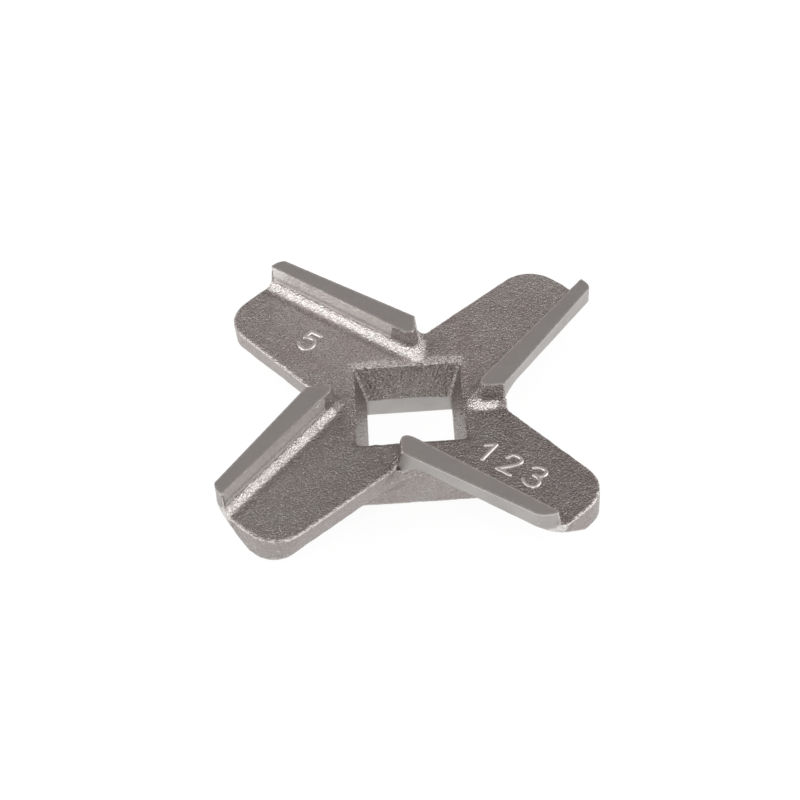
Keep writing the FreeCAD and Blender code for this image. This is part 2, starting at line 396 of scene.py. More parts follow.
def crossings(value, axis, origin, step, body):
    """Where the surface cuts the lattice lines along one axis, with the outward direction there.

    A crossing is first placed by proportion of the two distances, then twice more by the distance
    measured at the last guess.
    """
    inside = np.moveaxis(value < 0, axis, 0)
    index = np.argwhere(np.moveaxis(inside[:-1] != inside[1:], 0, axis))
    at_low = value[tuple(index.T)]
    next_index = index.copy()
    next_index[:, axis] += 1
    at_high = value[tuple(next_index.T)]
    t_low = np.zeros(len(index))
    t_high = np.ones(len(index))
    start = origin + index * step
    leaves = at_low < 0
    for _ in range(3):
        t = t_low + (t_high - t_low) * at_low / (at_low - at_high)
        point = start.copy()
        point[:, axis] += t * step
        here = body(*point.T)
        on_low_side = (here < 0) == (at_low < 0)
        t_low, at_low = np.where(on_low_side, t, t_low), np.where(on_low_side, here, at_low)
        t_high, at_high = np.where(on_low_side, t_high, t), np.where(on_low_side, at_high, here)
    slopes = []
    for side in range(3):
        shift = np.zeros(3)
        shift[side] = SLOPE_REACH
        slopes.append(body(*(point + shift).T) - body(*(point - shift).T))
    normal = np.stack(slopes, axis=1)
    normal /= np.linalg.norm(normal, axis=1, keepdims=True)
    return index, point, normal, leaves


def skin(body, low, high, step):
    """The crossings, cells and four-sided faces of the surface where a body's distance is zero.

    The body with its grain takes long to work out, so it is only asked for near the steel's surface.
    """
    axes = [np.arange(a, b + step, step) for a, b in zip(low, high)]
    grid = np.meshgrid(*axes, indexing="ij")
    value = cast_body(*grid)
    near = np.abs(value) < NEAR_STEEL
    value = np.maximum(np.maximum(value, ground_faces(*grid)), -broached_square(grid[0], grid[1]))
    value[near] = body(*[g[near] for g in grid])
    origin = np.array([a[0] for a in axes])
    faces, points, normals = [], [], []
    for axis in range(3):
        index, point, normal, leaves = crossings(value, axis, origin, step, body)
        ring = []
        for back_b, back_c in ((1, 1), (0, 1), (0, 0), (1, 0)):
            cell = index.copy()
            cell[:, (axis + 1) % 3] -= back_b
            cell[:, (axis + 2) % 3] -= back_c
            ring.append(np.ravel_multi_index(tuple(cell.T), value.shape))
        ring = np.stack(ring, axis=1)
        faces.append(np.where(leaves[:, None], ring, ring[:, ::-1]))
        points.append(point)
        normals.append(normal)
    faces, points, normals = (np.concatenate(part) for part in (faces, points, normals))
    cells, slot = np.unique(faces, return_inverse=True)
    slot = slot.reshape(-1)
    return faces, points, normals, cells, slot, origin, value.shape


def settle(faces, points, normals, cells, slot, origin, shape, step):
    """One vertex a cell: the point nearest to all the planes through its crossings, kept in its cell.

    Its convexity is how much the directions spread outwards over the cell: above 0 on an outer corner,
    below 0 in a pit or a cove.
    """
    size = len(cells)
    owner_points = np.repeat(points, 4, axis=0)
    owner_normals = np.repeat(normals, 4, axis=0)
    tally = np.bincount(slot, minlength=size)
    middle = np.stack([np.bincount(slot, owner_points[:, k], size) for k in range(3)], axis=1)
    middle /= tally[:, None]
    offset = np.einsum("ij,ij->i", owner_normals, owner_points - middle[slot])
    right = np.stack([np.bincount(slot, owner_normals[:, k] * offset, size) for k in range(3)], axis=1)
    left = np.empty((size, 3, 3))
    for j in range(3):
        for k in range(3):
            left[:, j, k] = np.bincount(slot, owner_normals[:, j] * owner_normals[:, k], size)
    left += np.eye(3) * MIDDLE_PULL
    vertices = middle + np.linalg.solve(left, right[:, :, None])[:, :, 0]
    corner = origin + np.stack(np.unravel_index(cells, shape), axis=1) * step
    vertices = np.clip(vertices, corner, corner + step)
    vertices = np.clip(vertices, *(np.array(measured_box) / MM))
    convexity = np.bincount(slot, offset, size) / tally / step
    return vertices, convexity


# The lattice's spacing and two end corners. Its planes miss the knife's own flat faces.
LATTICE = 0.2
LATTICE_LOW = (-20.6, -20.6, -0.31)
LATTICE_HIGH = (20.6, 20.6, 9.4)
found = skin(knife_body, LATTICE_LOW, LATTICE_HIGH, LATTICE)
knife_vertices, knife_convexity = settle(*found, LATTICE)
knife_faces = found[4].reshape(-1, 4)
crossing_points = found[1]
print("skin:", len(knife_vertices), "vertices,", len(knife_faces), "faces")

# %% [markdown]
# ## The mesh, and which face has which finish
#
# Every face comes from one crossing, and where that crossing lies tells which finish the face has. The
# rib tops, the leading faces and the ends of the ribs at the tips are ground, and the square is
# broached. The cast walls of the ribs and the funnel get materials of their own, with painted light that
# makes the walls brighter than the plate and painted shade that makes the funnel darker. The faces are
# shaded smoothly, except across real edges.
#
# Some effects follow the shape and not the face: corners that are rubbed and also painted bright as a
# highlight, a painted highlight in the coves under the ribs with painted shade beside it, stronger speckle
# on faces that look up, and painted shade that makes the plate darker at the front. They are worked out
# at each vertex and kept in the mesh as attributes, which the materials read later on.

# %% Knife mesh
# The long wall of a rib lies this far behind the cutting edge and this far from the hole's axis, and the
# tip end starts this far out along the edge.
WALL_BEHIND_EDGE = (1.25, 3.2)
WALL_RADII = (8.9, SWING_RADIUS - 0.3)
TIP_END_START = EDGE_END - 1.5
ON_PLANE = 0.01


def finish_of(x, y, z):
    """Finish number at points of the skin.

    0 is the cast skin, 1 a rib's top, 2 a leading face or a rib's tip end, 3 the broached square, 4 the
    long cast wall of a rib between its two ends, and 5 the funnel.
    """
    radius = np.hypot(x, y)
    finish = np.zeros(len(x), int)
    for local_x, local_y in quarter_turns(x, y):
        behind_edge = local_y - EDGE_Y
        wall = (behind_edge > WALL_BEHIND_EDGE[0]) & (behind_edge < WALL_BEHIND_EDGE[1])
        wall &= (radius > WALL_RADII[0]) & (radius < WALL_RADII[1])
        finish[(z > ARM_TOP + 0.8) & wall] = 4
        tip_end = (behind_edge > -0.1) & (behind_edge <= WALL_BEHIND_EDGE[0]) & (local_x > TIP_END_START)
        finish[(z > ARM_TOP + 0.4) & tip_end] = 2
    finish[(np.maximum(np.abs(x), np.abs(y)) < FUNNEL_HALF) & (z > FUNNEL_BOTTOM - 0.3)] = 5
    finish[np.abs(broached_square(x, y)) < ON_PLANE] = 3
    finish[(np.abs(ground_faces(x, y, z)) < ON_PLANE) & (z > ARM_BOTTOM)] = 2
    finish[np.abs(z - RIB_TOP) < ON_PLANE] = 1
    return finish


# For the four arms: how strong the painted highlight is in each cove, and how far out along the edge it
# begins.
COVE_HIGHLIGHT = (0.85, 1.0, 0.8, 0.8)
HIGHLIGHT_START = (2.0, 2.0, 5.4, 6.0)
# How far the painted highlight and shade reach from the cove's inner corner, and how softly each ends.
HIGHLIGHT_REACH = 0.9
HIGHLIGHT_FADE = 0.3
SHADE_REACH = 1.3
SHADE_FADE = 0.35


def cove_painted_light(x, y, z):
    """How strong the painted highlight in the coves is: full at the inner corner under a rib, none at its
    reach.

    Just beyond that it goes below zero, where painted shade darkens the plate along the cove.
    """
    grain_and_cove_light = np.zeros(len(x))
    cove_shade = np.zeros(len(x))
    for arm, (local_x, local_y) in enumerate(quarter_turns(x, y)):
        wall = np.maximum(rib(local_x, local_y, z, arm), 0)
        reach = np.hypot(wall, z - ARM_TOP)
        on_arm = COVE_HIGHLIGHT[arm] * (local_y > EDGE_Y + 0.3) * (local_x > HIGHLIGHT_START[arm])
        grain_and_cove_light = np.maximum(grain_and_cove_light, on_arm * np.clip((HIGHLIGHT_REACH - reach) / HIGHLIGHT_FADE, 0, 1))
        cove_shade = np.maximum(cove_shade, on_arm * np.clip(1 - np.abs(reach - SHADE_REACH) / SHADE_FADE, 0, 1))
    return np.where(grain_and_cove_light > 0, grain_and_cove_light, -cove_shade)


def grain_share(positions, directions):
    """How strong the speckle is: full on faces that look up, a third on the sides, less at the front."""
    upward = np.clip((directions[:, 2] + 0.1) / 0.4, 0.3, 1)
    return upward * np.clip(0.95 + 0.04 * positions[:, 1], 0.55, 1)


def front_painted_shade(positions, directions):
    """How much painted shade darkens the plate: nothing at the rear, a quarter on the tops of the front arms.
    """
    upward = np.clip((directions[:, 2] - 0.5) / 0.3, 0, 1) * (positions[:, 2] < RIB_TOP - 0.1)
    return 0.26 * upward * np.clip((5 - positions[:, 1]) / 8, 0, 1)


def mesh_from(name, vertices, faces, edge_angle):
    """A mesh object from arrays of vertices in millimetres and of four-sided faces."""
    mesh = bpy.data.meshes.new(name)
    mesh.vertices.add(len(vertices))
    mesh.vertices.foreach_set("co", (vertices * MM).astype(np.float32).ravel())
    mesh.loops.add(faces.size)
    mesh.loops.foreach_set("vertex_index", faces.astype(np.int32).ravel())
    mesh.polygons.add(len(faces))
    mesh.polygons.foreach_set("loop_start", np.arange(0, faces.size, 4, dtype=np.int32))
    mesh.update(calc_edges=True)
    mesh.validate()
    mesh.polygons.foreach_set("use_smooth", np.ones(len(mesh.polygons), bool))
    mesh.set_sharp_from_angle(angle=edge_angle)
    made = bpy.data.objects.new(name, mesh)
    bpy.context.scene.collection.objects.link(made)
    return made


knife = mesh_from("knife_casting", knife_vertices, knife_faces, math.radians(42))
finishes = finish_of(*crossing_points.T)
knife_directions = np.empty(3 * len(knife_vertices))
knife.data.vertex_normals.foreach_get("vector", knife_directions)
knife_directions = knife_directions.reshape(-1, 3)
skin_values = {
    "arris": knife_convexity,
    # The cove values are a painted highlight in the coves (above zero) and painted shade beside them (below
    # zero).
    "cove": cove_painted_light(*knife_vertices.T),
    "speckle": grain_share(knife_vertices, knife_directions),
    # Painted shade: the tops of the front arms are made darker.
    "painted_shade": front_painted_shade(knife_vertices, knife_directions),
}
for label, values in skin_values.items():
    kept = knife.data.attributes.new(label, "FLOAT", "POINT")
    kept.data.foreach_set("value", values.astype(np.float32))
print("faces with each finish:", np.bincount(finishes).tolist(), "of", len(knife.data.polygons))

# %% [markdown]
# ## Raised digits
#
# Two arms carry small raised digits that were cut into the mould. Each stroke is a low rounded ridge,
# made as a half-round profile carried along the stroke's line. At both ends of a stroke the profile
# shrinks to nothing along a quarter circle, so the end is round too. The strokes stand proud, and later
# get a brighter colour than the plate: a painted highlight where the ridges catch the light.

# %% Stroke ridges
def bend(*corners, steps=10):
    """Points of a smooth line from the first corner to the last, which rounds off the ones between.

    Each corner between pulls a parabola towards it, from the middle of one side to that of the next.
    """
    corners = np.array(corners, float)
    if len(corners) == 2:
        return corners[0] + np.linspace(0, 1, steps)[:, None] * (corners[1] - corners[0])
    middles = (corners[1:-2] + corners[2:-1]) / 2
    starts = np.vstack([corners[:1], middles])
    ends = np.vstack([middles, corners[-1:]])
    t = np.linspace(0, 1, steps, endpoint=False)[None, :, None]
    controls = corners[1:-1][:, None]
    arcs = (1 - t) ** 2 * starts[:, None] + 2 * t * (1 - t) * controls + t ** 2 * ends[:, None]
    return np.vstack([arcs.reshape(-1, 2), corners[-1:]])


# Each digit's strokes, one unit high. On the plate they are this wide and high, and their middle line
# lies this far below the plate's top.
STROKE_WIDTH = 0.52
STROKE_HEIGHT = 0.25
STROKE_SUNK = 0.06
CAP_STATIONS = 6
DIGIT_STROKES = {
    "1": [bend((-0.22, 0.72), (0.12, 1.0)), bend((0.12, 1.0), (0.12, 0.0))],
    "2": [bend((-0.3, 0.74), (-0.28, 1.02), (0.3, 1.06), (0.34, 0.62), (-0.3, 0.02)),
          bend((-0.3, 0.0), (0.34, 0.0))],
    "3": [bend((-0.28, 0.88), (-0.1, 1.06), (0.34, 1.04), (0.3, 0.56), (-0.04, 0.54)),
          bend((-0.04, 0.54), (0.36, 0.56), (0.42, -0.04), (-0.12, -0.06), (-0.3, 0.14))],
    "5": [bend((0.3, 1.0), (-0.24, 1.0)), bend((-0.24, 1.0), (-0.27, 0.56)),
          bend((-0.27, 0.56), (0.06, 0.74), (0.42, 0.5), (0.34, -0.08), (-0.1, -0.06), (-0.3, 0.12))],
}


def ridge(line, width, height):
    """A grid carried along a line: at each station a half-round section, which ends below the plate.

    Over the first and last stations the section swells and shrinks by the sine of a quarter turn.
    """
    steps = np.linalg.norm(np.diff(line, axis=0), axis=1)
    distance = np.concatenate([[0], np.cumsum(steps)])
    stations = np.linspace(0, distance[-1], 28)
    path = np.stack([np.interp(stations, distance, line[:, k]) for k in range(2)], axis=1)
    ahead = np.gradient(path, axis=0)
    ahead /= np.linalg.norm(ahead, axis=1, keepdims=True)
    radius = width / 2
    caps = np.sin(np.linspace(0, math.pi / 2, CAP_STATIONS + 1)[:-1])
    swell = np.concatenate([caps, np.ones(len(path) - 2), caps[::-1]])
    beyond = np.cos(np.arcsin(caps))
    shift = np.concatenate([-beyond, np.zeros(len(path) - 2), beyond[::-1]]) * radius
    repeats = np.ones(len(path), int)
    repeats[[0, -1]] = CAP_STATIONS
    path = np.repeat(path, repeats, axis=0)
    ahead = np.repeat(ahead, repeats, axis=0)
    path = path + ahead * shift[:, None]
    around = np.linspace(-0.25 * math.pi, 1.25 * math.pi, 13)
    side = np.stack([-ahead[:, 1], ahead[:, 0]], axis=1)
    across = path[:, None] + side[:, None] * (swell[:, None] * radius * np.cos(around))[:, :, None]
    up = swell[:, None] * height * np.sin(around)
    return np.dstack([across, up[:, :, None]])


def closed_grid_faces(rows, columns):
    """Faces of a grid whose columns close on themselves, as vertex numbers."""
    row, column = np.meshgrid(np.arange(rows - 1), np.arange(columns), indexing="ij")
    after = (column + 1) % columns
    here, above = row * columns, (row + 1) * columns
    quads = np.stack([here + column, here + after, above + after, above + column], axis=2)
    return quads.reshape(-1, 4)


def digit(name, figure, centre, turn, size):
    """One raised digit: its strokes' ridges, scaled to its height, turned and put on the plate."""
    faces, offset, vertices = [], 0, []
    for line in DIGIT_STROKES[figure]:
        grid = ridge(line * size, STROKE_WIDTH, STROKE_HEIGHT)
        rows, columns = grid.shape[:2]
        faces.append(closed_grid_faces(rows, columns) + offset)
        vertices.append(grid.reshape(-1, 3))
        offset += rows * columns
    vertices = np.vstack(vertices)
    cos, sin = math.cos(turn), math.sin(turn)
    x = centre[0] + vertices[:, 0] * cos - (vertices[:, 1] - size / 2) * sin
    y = centre[1] + vertices[:, 0] * sin + (vertices[:, 1] - size / 2) * cos
    placed = np.stack([x, y, ARM_TOP - STROKE_SUNK + vertices[:, 2]], axis=1)
    return mesh_from(name, placed, np.vstack(faces), math.radians(60))


# All the digits stand on lines that are turned by this much, one set on each of two opposite arms.
BASELINE = math.radians(-40)
digits = [
    digit("digit_one", "1", (7.6, -8.0), BASELINE, 2.5),
    digit("digit_two", "2", (9.8, -10.1), BASELINE, 2.5),
    digit("digit_three", "3", (12.1, -12.0), BASELINE, 2.5),
    digit("digit_five", "5", (-10.3, 10.1), BASELINE, 2.4),
]
print("digits:", [d.name for d in digits], "with", sum(len(d.data.polygons) for d in digits), "faces")

# %% [markdown]
# ## Finishes of the steel
#
# All the steel is one alloy, so every finish starts from the same warm grey metal. What differs is the
# skin. Cast skin is rough and pebbled, darker in its pits, and brighter on its high spots and corners,
# which are rubbed and also painted bright as a highlight. Ground faces are smooth, with hardly any
# grain. Painted pictures could show all this too, but they would need an unwrapped surface. Here noise
# in the steel's own millimetres does it, so the grain has its true size everywhere. The effects that
# several finishes share are node groups with named sockets, built once and placed in each material with
# its own values.

# %% Node helpers
def new_group(name, inputs, outputs):
    """An empty shader node group with named sockets, and its two end nodes."""
    group = bpy.data.node_groups.new(name, "ShaderNodeTree")
    for label, kind, default in inputs:
        socket = group.interface.new_socket(name=label, in_out="INPUT", socket_type=kind)
        if default is not None:
            socket.default_value = default
    for label, kind in outputs:
        group.interface.new_socket(name=label, in_out="OUTPUT", socket_type=kind)
    return group, group.nodes.new("NodeGroupInput"), group.nodes.new("NodeGroupOutput")


def place(tree, kind, settings=None, **links):
    """One node in a tree; links feed its inputs, from a socket or as a plain value.

    An input is given by its name, with low lines for spaces, or by i and its number.
    """
    node = tree.nodes.new(kind)
    for key, value in (settings or {}).items():
        setattr(node, key, value)
    for key, value in links.items():
        if key[0] == "i" and key[1:].isdigit():
            socket = node.inputs[int(key[1:])]
        else:
            socket = node.inputs[key.replace("_", " ")]
        if isinstance(value, bpy.types.NodeSocket):
            tree.links.new(value, socket)
        else:
            socket.default_value = value
    return node


def math_node(tree, operation, first, second=0.0, third=0.0):
    """The output of one Math node."""
    node = place(tree, "ShaderNodeMath", {"operation": operation}, i0=first, i1=second, i2=third)
    return node.outputs[0]


def noise(tree, position, scale, detail, **settings):
    """The values of a Noise texture, which vary smoothly over a distance of one divided by the scale."""
    texture = place(tree, "ShaderNodeTexNoise", Vector=position, Scale=scale, Detail=detail, **settings)
    return texture.outputs["Fac"]


def stretched(tree, value, low, high):
    """A value stretched so that the low one becomes 0 and the high one becomes 1, and cut off there."""
    return place(tree, "ShaderNodeMapRange", Value=value, From_Min=low, From_Max=high).outputs["Result"]


print("helpers ready")

# %% Group: cast grain
def make_grain_group():
    """Sand grain of a given size in millimetres: a height, a tone, and a mask of bright specks that paint
    light grains and glints.

    The height is noise less round cells, so it looks like pebbles with pits between them.
    """
    inputs = [("Position", "NodeSocketVector", None), ("Size", "NodeSocketFloat", 0.25),
              ("Sand", "NodeSocketFloat", 0.5)]
    outputs = [(label, "NodeSocketFloat") for label in ("Height", "Tone", "SpecksAndGlints")]
    group, start, end = new_group("cast grain", inputs, outputs)
    position = start.outputs["Position"]
    frequency = math_node(group, "DIVIDE", 1.0, start.outputs["Size"])
    pebble = noise(group, position, frequency, 3.0, Roughness=0.6)
    cells = place(group, "ShaderNodeTexVoronoi", {"feature": "SMOOTH_F1"}, Vector=position,
                  Scale=math_node(group, "MULTIPLY", frequency, 0.8), Smoothness=0.4)
    grain_and_cove_light = math_node(group, "MULTIPLY", cells.outputs["Distance"], start.outputs["Sand"])
    height = math_node(group, "SUBTRACT", pebble, grain_and_cove_light)
    tones = noise(group, position, math_node(group, "MULTIPLY", frequency, 1.25), 2.0, Roughness=0.7)
    tone = stretched(group, tones, 0.3, 0.7)
    # The specks, bright grains and painted glints, are read from another part of the noise, so that they
    # don't follow the tone.
    shifted = place(group, "ShaderNodeVectorMath", {"operation": "ADD"}, i0=position, i1=(31.0, 17.0, 5.0))
    specks_and_glints = noise(group, shifted.outputs[0], math_node(group, "MULTIPLY", frequency, 0.9), 1.0)
    specks_and_glints = stretched(group, specks_and_glints, 0.62, 0.76)
    for label, value in (("Height", height), ("Tone", tone), ("SpecksAndGlints", specks_and_glints)):
        group.links.new(value, end.inputs[label])
    return group


grain_group = make_grain_group()
print("group:", grain_group.name)

# %% Group: edge wear and painted light
def skin_value(tree, label):
    """The values that were kept in the mesh under a name."""
    return place(tree, "ShaderNodeAttribute", {"attribute_name": label}).outputs["Fac"]


def make_wear_and_light_group():
    """Masks from the skin's own attributes: corners rubbed and painted bright, dark pits, and the painted
    highlight in the coves with painted shade beside it.

    Noise is added to the attributes first, so the edges of the masks come out ragged.
    """
    inputs = [("Position", "NodeSocketVector", None), ("Breakup", "NodeSocketFloat", 0.5)]
    outputs = [(label, "NodeSocketFloat") for label in ("RubAndHighlight", "Pits", "Sand", "PaintedShade")]
    group, start, end = new_group("edge wear and painted light", inputs, outputs)
    ragged = noise(group, start.outputs["Position"], 3.6, 3.0, Roughness=0.65)
    shift = math_node(group, "SUBTRACT", ragged, 0.5)
    shift = math_node(group, "MULTIPLY", shift, start.outputs["Breakup"])
    corner = math_node(group, "ADD", skin_value(group, "arris"), math_node(group, "MULTIPLY", shift, 0.3))
    cove = math_node(group, "ADD", skin_value(group, "cove"), math_node(group, "MULTIPLY", shift, 1.6))
    # Corners are partly rubbed and partly painted bright; the cove masks are a painted highlight in the cove
    # and painted shade beside it.
    masks = (("RubAndHighlight", corner, 0.05, 0.18), ("Pits", corner, -0.04, -0.16),
             ("Sand", cove, 0.25, 0.85), ("PaintedShade", cove, -0.1, -0.7))
    for label, value, low, high in masks:
        group.links.new(stretched(group, value, low, high), end.inputs[label])
    return group


wear_and_light_group = make_wear_and_light_group()
print("group:", wear_and_light_group.name)

# %% Group: steel tones
def mixed_colour(tree, factor, first, second):
    """A colour between two others."""
    node = place(tree, "ShaderNodeMix", {"data_type": "RGBA"})
    sockets = (node.inputs["Factor"], node.inputs[6], node.inputs[7])
    for socket, value in zip(sockets, (factor, first, second)):
        if isinstance(value, bpy.types.NodeSocket):
            tree.links.new(value, socket)
        else:
            socket.default_value = value
    return node.outputs[2]


def scaled_colour(tree, colour, factor):
    """A colour made lighter or darker by a factor."""
    node = place(tree, "ShaderNodeVectorMath", {"operation": "SCALE"}, i0=colour, Scale=factor)
    return node.outputs[0]


def make_tone_group():
    """Patches a few millimetres wide that go from the first colour to the second, and their mask."""
    inputs = [("Position", "NodeSocketVector", None), ("First", "NodeSocketColor", None),
              ("Second", "NodeSocketColor", None)]
    outputs = [("Colour", "NodeSocketColor"), ("Patch", "NodeSocketFloat")]
    group, start, end = new_group("steel tones", inputs, outputs)
    broad = noise(group, start.outputs["Position"], 0.22, 4.0, Roughness=0.6)
    patch = stretched(group, broad, 0.36, 0.64)
    colour = mixed_colour(group, patch, start.outputs["First"], start.outputs["Second"])
    group.links.new(colour, end.inputs["Colour"])
    group.links.new(patch, end.inputs["Patch"])
    return group


tone_group = make_tone_group()
print("group:", tone_group.name)

# %% [markdown]
# ## The materials
#
# Each finish is one metal surface with the three groups in front of it. The patches and the grain give
# its colour. The painted shade beside the coves and the pits are then mixed in dark, and specks with
# painted glints, corners that are rubbed and painted bright, and the painted highlight in the coves are
# mixed in bright. A Bump node turns the grain's height into small dents, and the painted highlight in
# the coves shines a little more. The finishes differ only in their colours and in how much of each
# effect they take.

# %% Steel materials
STEEL_BROWN = (0.385, 0.333, 0.326, 1.0)
STEEL_OLIVE = (0.41, 0.383, 0.365, 1.0)
STEEL_GROUND = (0.44, 0.42, 0.405, 1.0)
# Besides wear and grain, the bright steel paints highlights in the coves, on corners and in the funnel's
# hollows, and the dark steel paints the shade beside the coves.
STEEL_BRIGHT = (0.80, 0.77, 0.75, 1.0)
STEEL_DARK = (0.17, 0.15, 0.145, 1.0)


def millimetre_position(tree):
    """Object coordinates in millimetres: the metres times 1000."""
    coordinates = place(tree, "ShaderNodeTexCoord").outputs["Object"]
    return place(tree, "ShaderNodeMapping", Vector=coordinates, Scale=(1000, 1000, 1000)).outputs["Vector"]


def steel(name, colours, roughness, grain_size, grain_depth, speckle, wear_and_highlight, pit_colour=STEEL_DARK):
    """A metal of two tones, with grain of a given size and depth in millimetres, specks with painted glints,
    and corners that are rubbed and painted bright as a highlight.

    Its lightness is one, less the painted shade on the front tops, plus the grain's tone from minus to plus
    the speckle.
    """
    material = bpy.data.materials.new(name)
    material.use_nodes = True
    tree = material.node_tree
    tree.nodes.clear()
    position = millimetre_position(tree)
    grain_and_cove_light = min(2.5 * speckle, 1.0)
    grain = place(tree, "ShaderNodeGroup", {"node_tree": grain_group}, Position=position,
                  Size=grain_size, Sand=grain_and_cove_light).outputs
    wear_and_light = place(tree, "ShaderNodeGroup", {"node_tree": wear_and_light_group}, Position=position,
                 Breakup=1.0).outputs
    tones = place(tree, "ShaderNodeGroup", {"node_tree": tone_group}, Position=position,
                  First=colours[0], Second=colours[1]).outputs
    swing = math_node(tree, "MULTIPLY_ADD", grain["Tone"], 2 * speckle, -speckle)
    # Painted shade: one less the darkening kept for the tops of the front arms.
    unshaded = math_node(tree, "SUBTRACT", 1.0, skin_value(tree, "painted_shade"))
    lightness = math_node(tree, "MULTIPLY_ADD", swing, skin_value(tree, "speckle"), unshaded)
    colour = scaled_colour(tree, tones["Colour"], lightness)
    # Painted shade: a dark band on the plate along each cove under a rib.
    cove_shade_share = math_node(tree, "MULTIPLY", wear_and_light["PaintedShade"], 0.4 * grain_and_cove_light)
    colour = mixed_colour(tree, cove_shade_share, colour, STEEL_DARK)
    # The hollows get the pit colour: dark on most finishes, and bright steel in the funnel as a painted
    # highlight.
    pitted = math_node(tree, "MULTIPLY", wear_and_light["Pits"], 0.6 * wear_and_highlight)
    colour = mixed_colour(tree, pitted, colour, pit_colour)
    # Specks: bright grains, partly painted glints.
    speck_and_glint_share = math_node(tree, "MULTIPLY", grain["SpecksAndGlints"], 0.6 * grain_and_cove_light)
    # Corners: partly rubbed, partly a painted highlight along the convex edges.
    rubbed_and_highlit = math_node(tree, "MULTIPLY", wear_and_light["RubAndHighlight"], wear_and_highlight)
    # Painted highlight: the coves under the ribs are mixed towards bright steel and made a little less rough.
    cove_highlight = math_node(tree, "MULTIPLY", wear_and_light["Sand"], grain_and_cove_light)
    bright = math_node(tree, "MAXIMUM", speck_and_glint_share, rubbed_and_highlit)
    bright = math_node(tree, "MAXIMUM", bright, math_node(tree, "MULTIPLY", cove_highlight, 0.9))
    colour = mixed_colour(tree, bright, colour, STEEL_BRIGHT)
    bump = place(tree, "ShaderNodeBump", Height=grain["Height"], Distance=grain_depth * MM)
    bump.inputs["Strength"].default_value = 1.0
    shine = math_node(tree, "MULTIPLY_ADD", tones["Patch"], 0.08, roughness - 0.04)
    shine = math_node(tree, "MULTIPLY_ADD", cove_highlight, -0.1, shine)
    surface = place(tree, "ShaderNodeBsdfPrincipled", Base_Color=colour, Roughness=shine,
                    Normal=bump.outputs["Normal"], Metallic=1.0)
    output = place(tree, "ShaderNodeOutputMaterial")
    tree.links.new(surface.outputs["BSDF"], output.inputs["Surface"])
    return material


def toned(colour, factor):
    """A colour with each of its three channels multiplied by a factor."""
    return tuple(factor * channel for channel in colour[:3]) + (1.0,)


ground_colours = (STEEL_GROUND, toned(STEEL_GROUND, 0.9))
top_colours = (toned(STEEL_GROUND, 1.04), toned(STEEL_GROUND, 0.94))
# Painted light: the rib walls are the same cast steel, made much lighter for the light on these upright
# walls.
lit_wall_colours = ((0.86, 0.84, 0.82, 1.0), (0.76, 0.745, 0.72, 1.0))
# Painted shade: the funnel's colours are darker than the plate's, for the shade inside the hole.
shaded_funnel_colours = ((0.35, 0.31, 0.30, 1.0), (0.37, 0.34, 0.32, 1.0))
# Painted highlight: the digits' colours are lighter than the plate's, for the light on their ridges.
digit_highlight_colours = ((0.66, 0.63, 0.61, 1.0), (0.60, 0.57, 0.55, 1.0))
cast_skin = steel("cast_skin", (STEEL_BROWN, STEEL_OLIVE), roughness=0.36, grain_size=0.19,
                  grain_depth=0.1, speckle=0.52, wear_and_highlight=0.8)
rib_wall = steel("cast_rib_wall", lit_wall_colours, roughness=0.42, grain_size=0.2,
                 grain_depth=0.06, speckle=0.35, wear_and_highlight=0.5)
# The funnel's corners are inner ones, where bright lines show and not dark pits: its hollows get bright
# steel, a painted highlight.
funnel_skin = steel("cast_funnel", shaded_funnel_colours, roughness=0.38, grain_size=0.22,
                    grain_depth=0.12, speckle=0.55, wear_and_highlight=0.8, pit_colour=STEEL_BRIGHT)
digit_skin = steel("raised_digits", digit_highlight_colours, roughness=0.34, grain_size=0.25,
                   grain_depth=0.03, speckle=0.2, wear_and_highlight=0.5)
ground_top = steel("ground_rib_top", top_colours, roughness=0.34, grain_size=0.3,
                   grain_depth=0.006, speckle=0.05, wear_and_highlight=0.35)
ground_face = steel("ground_leading_face", ground_colours, roughness=0.36, grain_size=0.3,
                    grain_depth=0.006, speckle=0.04, wear_and_highlight=0.35)
broached = steel("broached_wall", ground_colours, roughness=0.34, grain_size=0.3,
                 grain_depth=0.01, speckle=0.05, wear_and_highlight=0.35)
# This order is the order of the finish numbers.
for material in (cast_skin, ground_top, ground_face, broached, rib_wall, funnel_skin):
    knife.data.materials.append(material)
knife.data.polygons.foreach_set("material_index", finishes.astype(np.int32))
for made in digits:
    made.data.materials.append(digit_skin)
print("materials:", [m.name for m in knife.data.materials])

# %% [markdown]
# ## Joining the measured model
#
# The new skin stands for the measured casting, and the digits sit on it. All of them belong to the one
# body of the model.

# %% Ride and replace
for piece in [knife] + digits:
    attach(piece, "root")
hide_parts("four_blade_knife")
print("pieces:", [piece.name for piece in [knife] + digits])

# %% [markdown]
# ## Floor, light and camera
#
# The photograph is a catalogue picture: white all round, soft light from both sides, and a long lens
# that looks down at 45 degrees. Steel shows what is around it, so the two side lights are what makes
# the coves and corners bright, and the duller space above and behind makes the flat tops darker.
#
# The floor keeps its own faint shadow. For rays that come from the camera, or from gloss or glass, it
# also glows, so that it shows as white. To all other rays it is plain pale paint, so the glow doesn't
# light the knife.

